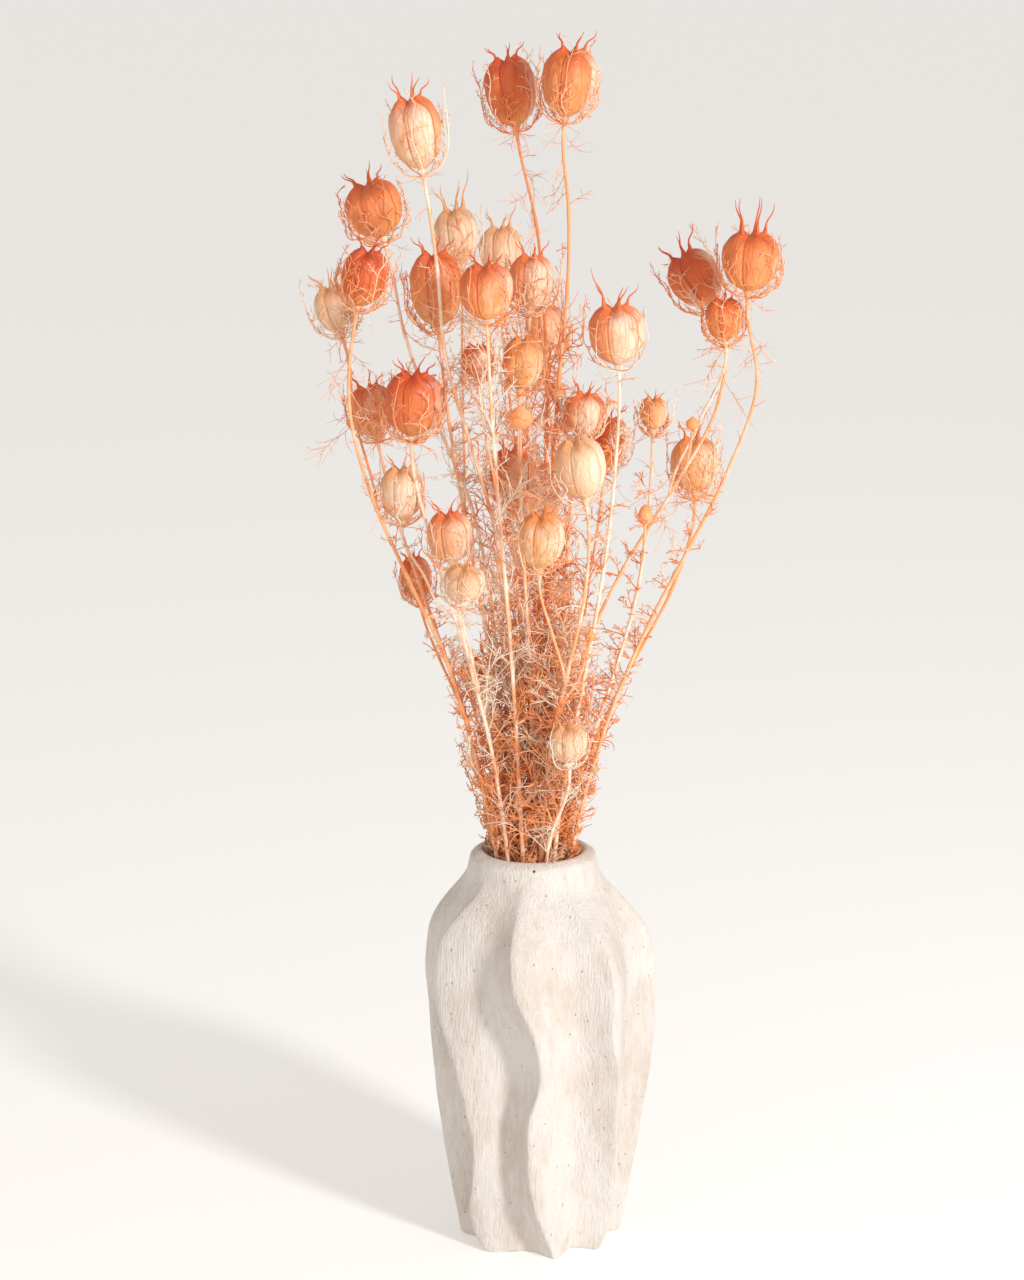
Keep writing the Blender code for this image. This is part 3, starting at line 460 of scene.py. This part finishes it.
def pod_skin(tint):
    """Dried papery skin: deeper at the crown and the seams, with a net of fine veins in it, and painted
    light and shade on its two sides.
    """
    made, place, finish = material(f"papery {tint} skin")
    up, seam = own_value(place, "up"), own_value(place, "seam")
    tone, kind = own_value(place, "tone"), own_value(place, "kind")
    moved = place.add("ShaderNodeVectorMath", {"operation": "ADD"}, {0: place, 1: kind})
    blotches = moved.stretch(1.0, 1.0, 0.6).grain(7.0, 4.0)
    fine = moved.stretch(1.0, 1.0, 0.35).grain(1.3, 4.0)
    net = moved.stretch(1.0, 1.0, 0.28).cells(3.2, "DISTANCE_TO_EDGE").ramp(0.09, 0.0)
    crown, middle, foot = [(*colour, 1) for colour in SKINS[tint]]
    height = up + (blotches - 0.5) * 0.5 - tone * 0.10
    lower = height.ramp(0.05, 0.42).mix(foot, middle)
    body = height.ramp(0.55, 1.02).mix(lower, crown)
    # Pale and deep patches are partly random, from blotches and lobe tones, and partly painted light: the
    # tone makes the side facing the key light paler (lit) and the far side deeper (shaded).
    pale = (tone * 0.6 + blotches).ramp(0.5, 0.95) * up.ramp(1.02, 0.75)
    lit = (pale * 0.66).mix(body, (0.97, 0.79, 0.62, 1))
    dim = (tone * 0.6 + blotches).ramp(0.45, 0.05)
    shaded = (dim * 0.55).mix(lit, crown)
    veined = (net * 0.2 + (fine - 0.5).ramp(0.03, 0.25) * 0.28).mix(shaded, crown)
    ribs = seam.ramp(0.90, 0.985) * 0.65 + seam.ramp(0.07, 0.0) * up.ramp(0.98, 0.9) * 0.28
    seamed = ribs.mix(veined, crown)
    finish(Base_Color=seamed, Roughness=0.48, Subsurface_Weight=0.12,
           Subsurface_Radius=(0.004, 0.0016, 0.0007),
           Normal=(net * 0.35 + fine * 0.5 + seam.ramp(0.9, 1.0) * 0.6).bump(0.8, 0.6))
    return made


pods = [Pod(row) for row in PODS]
skins = {tint: pod_skin(tint) for tint in SKINS}
for number, pod in enumerate(pods, start=1):
    points, faces, values, where = pod_piece(number, pod)
    piece = add_piece(f"seed_pod_{number:02d}", points, faces, skins[pod.tint], values, where)
    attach(piece, "root")
    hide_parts(f"pod_{number:02d}")

# The plants: dry stems cut to length and put down into the vase, each forking once at most. Their
# leaves and the bracts caged round every pod are threads that fork again and again, and some carry
# a small unopened bud.
GAP = 0.3
# Each plant: the pod on its main stem; a side stem's pod and the height it forks at; places that the
# main stem passes; buds, by place, height, width and how far below the bud its own stem springs.
PLANTS = [
    (14, [], [(41, -6, 272), (66, -9, 325), (91, -10, 394)], []),
    (13, [(15, 338)], [(26, 9, 291), (56, 13, 339)], [(65, -10, 371, 6, 6, 22)]),
    (25, [], [], []),
    (12, [], [(30, -30, 349)], []),
    (24, [], [(46, 20, 310)], [(45, -12, 330, 9, 7, 22)]),
    (22, [], [], []),
    (2, [], [(13, 7, 405), (14, 9, 450)], []),
    (1, [], [(-1, 27, 447), (-4, 31, 470)], []),
    (11, [(9, 310)], [], []),
    (10, [(16, 345)], [], []),
    (8, [(7, 320)], [], []),
    (17, [(26, 285)], [], [(-9, -42, 377, 10, 11, 22)]),
    (21, [], [], [(7, 28, 379, 8, 9, 22.3)]),
    (23, [(31, 262)], [], [(21, -32, 283, 5, 5, 30)]),
    (18, [(34, 262)], [], []),
    (32, [], [], []),
    (3, [], [(-31, -22, 350), (-44, -30, 392)], []),
    (4, [], [(-31, 0, 343), (-54, 0, 397)], []),
    (5, [(6, 340)], [], []),
    (20, [(27, 290)], [], []),
    (19, [(29, 240)], [], []),
    (28, [(30, 258)], [], []),
    (33, [], [(-18, 16, 203)], [(-30, -8, 220, 8, 6, 22)]),
]
MAIN_RADIUS = (1.25, 0.75)
SIDE_RADIUS = (0.75, 0.6)
COLLAR = 6.0
MOUTH_SPREAD = 0.17
MOUTH_LIMIT = 15.5
FOOT_HEIGHT = 9.0
LEAF_HEIGHTS = (167.0, 335.0)
THICK_BELOW = 270.0
BRACTS = 5
BRACT_STEPS = 16
SIDE_TURN = 0.35
FORK_LENGTH = 5.0
FORK_ROOT = 0.45
STEM_STEP = 36.0
LEVELS = np.arange(FOOT_HEIGHT, 520.0, 4.0)
SLANT = 1.3
STEM_ROOM = 2.0
POD_ROOM = 3.0
WALL_ROOM = 3.0
WALL_PUSH = 4.0
ROUNDS = 400
SWELL = 0.28
THREAD_SIDES = 3
THREAD_JITTER = 0.2
THREAD_CLEAR = 0.7


class Stem:
    """A stem as points up its length, which can be pushed sideways but not up or down."""

    def __init__(self, plant, pod, knots, radii, parent=None):
        self.plant, self.pod, self.parent = plant, pod, parent
        bottom, top = knots[0][0], knots[-2][0]
        count = max(2, round((top - bottom) / STEM_STEP))
        self.z = np.append(np.linspace(bottom, top, count + 1), knots[-1][0])
        if parent:
            self.z = np.insert(self.z, 1, bottom + FORK_LENGTH)
        self.xy = curve(knots, self.z)
        self.first = self.xy.copy()
        self.radius = np.linspace(*radii, len(self.z))
        if parent:
            self.radius[0] = FORK_ROOT
        self.inside = (LEVELS >= self.z[0]) & (LEVELS <= self.z[-1])
        self.weight = np.array([np.interp(LEVELS, self.z, row) for row in np.eye(len(self.z))]).T
        self.weight[~self.inside] = 0
        self.turn = parent.turn + SIDE_TURN if parent else random.Random(pod).uniform(0, 2 * math.pi)

    def at(self, height):
        return np.array([*(np.interp(height, self.z, self.xy[:, k]) for k in (0, 1)), height])


def stem_knots(pod, root, via):
    """Knots of (height, x, y) from the root of a stem, by way of given points, to under its pod."""
    end, collar = pod.base - GAP * pod.axis, pod.base - COLLAR * pod.axis
    return root + [(z, x, y) for x, y, z in via] + [(collar[2], *collar[:2]), (end[2], *end[:2])]


def lay_out(pods):
    """Start each stem on a smooth path from the vase to its pod, then bend the stems clear."""
    centre = np.array([level(NECK_LEAN, VASE_HEIGHT), 0.0])
    stems = []
    for number, (main, sides, via, _) in enumerate(PLANTS):
        pod = pods[main - 1]
        spread = MOUTH_SPREAD * math.sqrt(240 / (pod.base[2] - VASE_HEIGHT))
        mouth = spread * pod.base[:2]
        mouth *= min(1.0, MOUTH_LIMIT / max(1.0, float(np.hypot(*mouth))))
        root = [(FOOT_HEIGHT, *(0.9 * mouth + 0.3 * centre)), (VASE_HEIGHT - 20, *(mouth + centre))]
        if not via:
            height = VASE_HEIGHT + 0.27 * (pod.base[2] - COLLAR - VASE_HEIGHT)
            via = [(*(0.75 * (mouth + centre) + 0.25 * pod.base[:2]), height)]
        parent = Stem(number, main - 1, stem_knots(pod, root, via), MAIN_RADIUS)
        stems.append(parent)
        for side, fork in sides:
            pod = pods[side - 1]
            start = parent.at(fork)
            middle = 0.42 * start + 0.58 * pod.base
            middle[2] = (fork + pod.base[2]) / 2
            knots = stem_knots(pod, [(fork, *start[:2])], [tuple(middle)])
            stems.append(Stem(number, side - 1, knots, SIDE_RADIUS, parent))
    bend_clear(stems, pods)
    return stems


def bend_clear(stems, pods):
    """Push stems off each other, off the pods they pass and off the wall, a little at a time."""
    sizes = np.array([stem.weight @ stem.radius for stem in stems])
    inside = np.array([stem.inside for stem in stems])
    plants = np.array([stem.plant for stem in stems])
    meet = inside[:, None] & inside[None] & (plants[:, None] != plants[None])[:, :, None]
    room = SLANT * (sizes[:, None] + sizes[None] + STEM_ROOM)
    above = [LEVELS - pod.base[2] for pod in pods]
    centres = np.array([pod.base[:2] + np.outer(up, pod.axis[:2] / pod.axis[2])
                        for pod, up in zip(pods, above)])
    reach = np.array([pod.reach(up) for pod, up in zip(pods, above)])
    others = np.array([stem.pod for stem in stems])[:, None] != np.arange(len(pods))[None]
    passing = inside[:, None] & others[:, :, None]
    pod_room = SLANT * (reach[None] + sizes[:, None] + POD_ROOM)
    wall = curve(HOLLOW_RADIUS, LEVELS)[:, 0] - WALL_ROOM
    wall[LEVELS > VASE_HEIGHT + 4] = 1000.0
    middle = np.column_stack([curve(NECK_LEAN, LEVELS)[:, 0], np.zeros(len(LEVELS))])
    for _ in range(ROUNDS):
        places = np.array([stem.weight @ stem.xy for stem in stems])
        push = push_off(places[:, None] - places[None], room, meet, 0.25)
        push += push_off(places[:, None] - centres[None], pod_room, passing, 0.4)
        offset = places - middle
        distance = np.linalg.norm(offset, axis=-1) + 1e-6
        over = np.where(inside, np.maximum(distance - wall, 0), 0)
        push -= (WALL_PUSH * over / distance)[..., None] * offset
        for stem, own in zip(stems, push):
            share = stem.weight.sum(axis=0)[:, None] + 1e-6
            shift = stem.xy - stem.first + np.clip(stem.weight.T @ own / share * 2.0, -1.5, 1.5)
            shift[1:-1] = 0.5 * shift[1:-1] + 0.25 * (shift[:-2] + shift[2:])
            shift[-2:] = 0
            stem.xy = stem.first + shift
            if stem.parent:
                stem.first[0] = stem.xy[0] = stem.parent.at(stem.z[0])[:2]


def push_off(offset, room, counts, strength):
    """The push on each stem, at each level, from whatever stands nearer to it than the room given."""
    distance = np.linalg.norm(offset, axis=-1) + 1e-6
    lack = np.where(counts, np.maximum(room - distance, 0), 0)
    return (strength * (lack / distance)[..., None] * offset).sum(axis=1)


def any_way(draw, rise=1.0):
    """A random direction, with its climb or fall held to a share."""
    return Vector((draw.uniform(-1, 1), draw.uniform(-1, 1), draw.uniform(-rise, rise)))


def grow(strands, draw, start, heading, length, thick, depth, tone, keep, curl=1.5):
    """A thread that curls as it goes, kept where `keep` puts it, with shorter ones forking off it."""
    steps = max(2, round(length * (0.3 + 0.06 * curl)))
    bend = any_way(draw, 0.6) * draw.uniform(0.2, 1) * curl
    path, headings = [Vector(start)], [heading.normalized()]
    for step in range(steps):
        jitter = any_way(draw) * THREAD_JITTER
        heading = (headings[-1] + bend * (1.6 - 1.4 * step / steps) / steps + jitter).normalized()
        path.append(keep(path[-1] + heading * (length / steps)))
        headings.append((path[-1] - path[-2]).normalized())
    radii = np.linspace(thick, 0.6 * thick, steps + 1)
    strands.lay(path, radii, THREAD_SIDES, tone)
    if depth == 0:
        return
    side = draw.choice((-1, 1))
    forks = max(1, round(length / 3.0))
    for n in range(forks):
        k = min(steps - 1, round((0.35 + 0.6 * n / forks) * steps))
        ahead = headings[k]
        across = ahead.cross(any_way(draw)).normalized()
        if depth > 1:
            outward = (path[k] - path[0]).cross(bend).normalized()
            across = (outward * side + 0.6 * across).normalized()
        side = -side
        grow(strands, draw, path[k], ahead + draw.uniform(0.5, 1.1) * across,
             length * draw.uniform(0.25, 0.55), 0.72 * thick, depth - 1,
             tone + draw.uniform(-0.1, 0.1), keep, 2.2)


def cage_reach(pod, up, flare):
    """How far out from its axis the bracts round a pod stand, at a height up it."""
    r, h = pod.radius, pod.height
    return float(np.interp(up, (-2.8, 0.07 * h, 0.44 * h, 0.85 * h, 1.1 * h),
                           (0.9, 0.78 * r + 1.0 + 0.3 * flare, r + 1.0 + flare, r + 0.9 + 1.2 * flare,
                            r + 0.9 + 1.4 * flare)))


def caged(pod, flare):
    """A rule that draws a point towards the bracts' cage round a pod, and never into the pod."""
    base, axis = Vector(pod.base), Vector(pod.axis)

    def keep(point):
        offset = point - base
        up = offset.dot(axis)
        out = offset - up * axis
        distance = max(out.length, 0.1)
        wanted = 0.6 * distance + 0.4 * cage_reach(pod, up, flare)
        share = min(max(up / pod.height, 0), 1)
        least = 0.5
        if 0 < up < pod.height:
            least = level(POD_PROFILE, share) * pod.radius + THREAD_CLEAR
        return base + up * axis + out * (max(wanted, least) / distance)

    return keep


# The share of the finer threads that each of these pods has lost, and that the others have.
BARE = {3: 0.5, 7: 0.7, 9: 0.6, 10: 0.6, 12: 0.55, 17: 0.4, 18: 0.5, 23: 0.75, 26: 0.4, 27: 0.3,
        28: 0.6, 31: 0.6, 32: 0.4}
BARE_ELSE = 0.1
THREAD_TONE = {"deep": 0.1, "orange": 0.15, "ochre": 0.3, "peach": 0.4, "cream": 0.5}


def lay_bracts(strands, stem, pod):
    """The cage of forked bracts that springs from under a pod, worn away on some pods."""
    draw = random.Random(stem.pod)
    tips = random.Random(900 + stem.pod)
    bare = BARE.get(stem.pod + 1, BARE_ELSE)
    small = min(1.0, pod.radius / 10)
    for k in range(BRACTS):
        angle = stem.turn + 2 * math.pi * k / BRACTS
        flare, lift = draw.uniform(0, 2.6), draw.uniform(0.7, 1.1)
        for extra in (False, True):
            if extra:
                angle += math.pi / BRACTS + tips.uniform(-0.3, 0.3)
                flare, lift = tips.uniform(-0.5, 1.6), tips.uniform(0.35, 0.8)
            r, h = pod.radius, pod.height
            loose = 0.16 if extra else 0.10
            wander = [tips.uniform(-loose, loose) for _ in range(4)]
            knots = [pod.point(angle, 0.9, -2.8),
                     pod.point(angle + wander[0], 0.5 * r + 0.8, -1.6 + 6 * wander[1]),
                     pod.point(angle + wander[1], 0.80 * r + 1.0 + 0.3 * flare, 0.07 * h),
                     pod.point(angle - wander[1], 0.94 * r + 1.1 + 0.8 * flare, 0.24 * h * min(1.0, lift)),
                     pod.point(angle + 2 * wander[2], r + 1.3 + flare, 0.44 * h * min(1.0, lift)),
                     pod.point(angle - wander[3], r + 1.2 + 1.1 * flare * lift, 0.72 * lift * h),
                     pod.point(angle + 0.1 + wander[3], r + 1.0 + 1.4 * flare * lift, lift * h)]
            path = smooth_path(knots, BRACT_STEPS)
            if extra and tips.random() < bare:
                continue
            tone = THREAD_TONE[pod.tint] + tips.uniform(0, 0.7)
            strands.lay(path, np.linspace(0.32, 0.17, BRACT_STEPS), 5, tone)
            keep = caged(pod, flare)
            for place in range(3, BRACT_STEPS):
                if tips.random() < bare * min(1.0, place / 8):
                    continue
                ahead = Vector(path[min(place + 1, BRACT_STEPS - 1)] - path[place - 1]).normalized()
                outward = (Vector(path[place]) - Vector(pod.base)).cross(Vector(pod.axis)).normalized()
                across = outward * (1 if place % 2 else -1)
                grow(strands, tips, Vector(path[place]), ahead + tips.uniform(0.6, 1.2) * across,
                     small * tips.uniform(3.0, 8.5), 0.24, 1 if place % 3 else 2,
                     tone + tips.uniform(-0.15, 0.15), keep)


def lay_loops(strands, stem, pod):
    """Loose curled threads that hang and loop about the foot of a pod."""
    draw = random.Random(1300 + stem.pod)
    keep = caged(pod, 1.5)

    def loose(point):
        return point if (point - Vector(pod.base)).dot(Vector(pod.axis)) < -0.5 else keep(point)

    worn = 1 - 0.7 * BARE.get(stem.pod + 1, BARE_ELSE)
    for _ in range(round(9 * min(1.0, pod.radius / 10) * worn)):
        angle = draw.uniform(0, 2 * math.pi)
        side = Vector(pod.point(angle, 1.0, 0.0)) - Vector(pod.base)
        ahead = side + draw.uniform(-0.8, 0.5) * Vector(pod.axis)
        grow(strands, draw, Vector(pod.point(angle, 0.7, -3.0)), ahead, draw.uniform(7, 15), 0.19,
             draw.choice((0, 1)), draw.uniform(0.1, 0.9), loose, 5.5)


def neck_rule(point):
    """Keep a thread off the vase's lip and neck."""
    if point.z < VASE_HEIGHT + 4:
        centre = Vector((level(NECK_LEAN, point.z), 0.0, point.z))
        out = point - centre
        limit = level(HOLLOW_RADIUS, min(point.z, VASE_HEIGHT)) - 1.2
        if out.length > limit:
            return centre + out * (limit / out.length)
    return point


def stem_line(stem):
    """The stem's own line in fine steps, on a smooth curve through its knots."""
    at = np.append(np.arange(stem.z[0], stem.z[-1], 3.0), stem.z[-1])
    return at, np.column_stack([curve(np.column_stack([stem.z, stem.xy]), at), at])


def bunch_rule(stem, room):
    """Keep a thread within so many millimetres outside its own stem, as seen from the middle."""

    def keep(point):
        point = neck_rule(point)
        middle = Vector((level(NECK_LEAN, point.z), 0.0, point.z))
        limit = (Vector(stem.at(min(point.z, stem.z[-1]))) - middle).length + room
        out = point - middle
        return middle + out * (limit / out.length) if out.length > limit else point

    return keep


def lay_leaves(strands, stem, number):
    """Thread-like leaves up the lower stem, three or four at each knot, dried and tangled."""
    draw = random.Random(100 + number)
    at, line = stem_line(stem)
    low, high = LEAF_HEIGHTS
    height = max(low, stem.z[0] + 3) + draw.uniform(0, 8)
    inner = 60.0 if abs(stem.at(high)[0] + 5) < 36 and stem.z[-1] > high + 20 else 0.0
    while height < min(high + inner + draw.uniform(-20, 40), stem.z[-1] - 12):
        k = int(np.searchsorted(at, height))
        root = Vector(line[min(k, len(line) - 1)])
        outer = abs(root.x + 3) > 24
        inward = Vector((level(NECK_LEAN, height) - root.x, -root.y, 0)) / 20
        # Threads behind the stems (y over 0) and low in the neck (under 235 mm) get a deeper tone: painted
        # shade at the back of the bunch and deep inside it.
        deep = 0.45 * (root.y > 0) + 0.3 * (height < 235)
        for n in range(4 if height < THICK_BELOW else 3):
            angle = draw.uniform(0, 2 * math.pi)
            out = Vector((math.cos(angle), math.sin(angle), 0)) + draw.uniform(0, 0.8) * inward
            climb = draw.uniform(0.3, 1.8) if height > VASE_HEIGHT + 6 else draw.uniform(1.6, 3.0)
            length = draw.uniform(6, 13) if outer else draw.uniform(8, 20)
            if n == 0 and not outer:
                climb, length = draw.uniform(1.5, 3.5), draw.uniform(24, 44)
            grow(strands, draw, root, out + climb * Vector((0, 0, 1)), length, 0.38,
                 2 if length < 22 else 1, draw.uniform(0.2, 1.35) - deep,
                 bunch_rule(stem, draw.uniform(2, 7)), 2.0)
        height += draw.uniform(6, 12) if height < THICK_BELOW else draw.uniform(9, 17)


def lay_curls(strands, stem, number):
    """A few fine curled threads left on the upper stem."""
    draw = random.Random(500 + number)
    at, line = stem_line(stem)
    height = max(stem.z[0] + 12, LEAF_HEIGHTS[1])
    while height < stem.z[-1] - 7:
        k = int(np.searchsorted(at, height))
        ahead = Vector(line[k] - line[k - 1]).normalized()
        near_pod = stem.z[-1] - height < 45
        angle = draw.uniform(0, 2 * math.pi)
        out = Vector((math.cos(angle), math.sin(angle), 0))
        if draw.random() < (0.55 if near_pod else 0.25):
            grow(strands, draw, Vector(line[k]), out * 0.45 - ahead * draw.uniform(0.6, 1.2),
                 draw.uniform(14, 30), 0.2, 1, draw.uniform(0.2, 0.9), neck_rule, 1.6)
        else:
            grow(strands, draw, Vector(line[k]), out * 1.2 + ahead * draw.uniform(-0.4, 1.4),
                 draw.uniform(5, 13) if near_pod else draw.uniform(3, 9), 0.22, 1,
                 draw.uniform(0.1, 1), neck_rule, 2.5)
        height += draw.uniform(4, 9) if near_pod else draw.uniform(8, 20)


def lay_stem(strands, stem, pod, draw):
    """The stem itself, a little swollen at its knots, widening to the cup the pod grew from."""
    at, line = stem_line(stem)
    radii = 0.86 * np.interp(at, stem.z, stem.radius)
    for knot in stem.z[1:-2]:
        radii *= 1 + SWELL * np.exp(-((at - knot) / 2.2) ** 2)
    cup = [pod.base - down * pod.axis for down in (3.6, 2.6, 1.6, 0.6, -0.5)]
    line = np.vstack([line[at < pod.base[2] - COLLAR], cup])
    radii = np.append(radii[at < pod.base[2] - COLLAR], [0.95, 1.2, 1.6, 2.0, 1.9])
    # Stems whose pods stand in front (y under 20 mm) get paler tones: painted light on the front of the
    # bunch.
    tone = draw.uniform(0.45, 1.0) if pod.base[1] < 20 else draw.uniform(0.2, 0.8)
    strands.lay(line, radii, 10, tone)


def lay_bud(strands, stem, bud, draw):
    """A small unopened bud on its own side stem, with threads round it."""
    x, y, z, height, width, drop = bud
    base = np.array([x, y, z], float)
    start = stem.at(min(z - drop, stem.z[-1] - COLLAR - 3))
    middle = 0.35 * start + 0.65 * base - np.array([0, 0, 0.18 * drop])
    strands.lay(smooth_path([start, middle, base], 14), np.linspace(0.7, 0.6, 14), 8, 0.6)
    shares = np.array([0, 0.1, 0.3, 0.5, 0.7, 0.85, 1.0])
    widths = np.array([0.12, 0.34, 0.48, 0.47, 0.36, 0.2, 0.04]) * width
    strands.lay(base + shares[:, None] * height * np.array([0, 0, 1.0]), widths, 16, 0.35)
    for _ in range(9):
        angle = draw.uniform(0, 2 * math.pi)
        out = Vector((math.cos(angle), math.sin(angle), draw.uniform(0.2, 1.4)))
        grow(strands, draw, Vector(base), out, draw.uniform(0.6, 1.0) * height + 2, 0.24, 1,
             draw.uniform(0, 0.8), neck_rule)


stalk, place, finish = material("dry peach stem")
tone, up = own_value(place, "tone"), own_value(place, "up")
streaks = place.stretch(1.0, 1.0, 0.05).grain(0.8, 3.0)
patchy = place.grain(15.0, 4.0)
warm = (tone * 0.75 + (patchy - 0.5) * 1.1).ramp(0.0, 0.95)
low = warm.mix((0.99, 0.36, 0.12, 1), (0.99, 0.63, 0.40, 1))
colour = (warm + (streaks - 0.5) * 0.8).ramp(0.4, 1.0).mix(low, (0.99, 0.83, 0.67, 1))
finish(Base_Color=colour, Roughness=0.5, Normal=(streaks * 0.6 + place.grain(0.9) * 0.4).bump(0.4, 0.25))

stems = lay_out(pods)
for number, (*_, buds) in enumerate(PLANTS):
    strands = Strands()
    for index, stem in enumerate(stems):
        if stem.plant != number:
            continue
        pod = pods[stem.pod]
        draw = random.Random(700 + index)
        lay_stem(strands, stem, pod, draw)
        lay_bracts(strands, stem, pod)
        lay_loops(strands, stem, pod)
        if not stem.parent:
            lay_leaves(strands, stem, index)
        lay_curls(strands, stem, index)
        if not stem.parent:
            for bud in buds:
                lay_bud(strands, stem, bud, draw)
    piece = strands.piece(f"plant_{number + 1:02d}", stalk)
    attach(piece, "root")
    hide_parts(f"stem_{number + 1:02d}")

# The floor it stands on, the light and the camera: a plain pale floor, one soft key light from the
# right and in front, and a near-white sky all round.
floor_finish, place, finish = material("plain pale floor")
finish(Base_Color=(0.90, 0.89, 0.88, 1), Roughness=0.9, Emission_Color=(1.0, 0.985, 0.97, 1),
       Emission_Strength=0.24)
FLOOR_HALF = 30000
corners = [(x * FLOOR_HALF, y * FLOOR_HALF, 0) for x, y in ((-1, -1), (1, -1), (1, 1), (-1, 1))]
floor = add_piece("floor", corners, [(0, 1, 2, 3)], floor_finish)

world = bpy.data.worlds.new("pale room")
world.use_nodes = True
world.node_tree.nodes["Background"].inputs["Color"].default_value = (1.0, 0.965, 0.93, 1)
world.node_tree.nodes["Background"].inputs["Strength"].default_value = 0.62
bpy.context.scene.world = world
bpy.context.scene.view_settings.view_transform = "Standard"

lamp = bpy.data.lights.new("key", "AREA")
lamp.energy = 23
lamp.size = 0.22
lamp.color = (1.0, 0.98, 0.955)
key = bpy.data.objects.new("key", lamp)
key.location = (1.12, -1.33, 0.91)
key.rotation_euler = (Vector((0, 0, 0.28)) - key.location).to_track_quat("-Z", "Y").to_euler()
bpy.context.scene.collection.objects.link(key)

lens = bpy.data.cameras.new("camera")
lens.lens = 96.9
camera = bpy.data.objects.new("camera", lens)
camera.location = (-0.0126, -1.474, 0.615)
camera.rotation_euler = (math.radians(77.05), 0, 0)
bpy.context.scene.collection.objects.link(camera)
bpy.context.scene.camera = camera
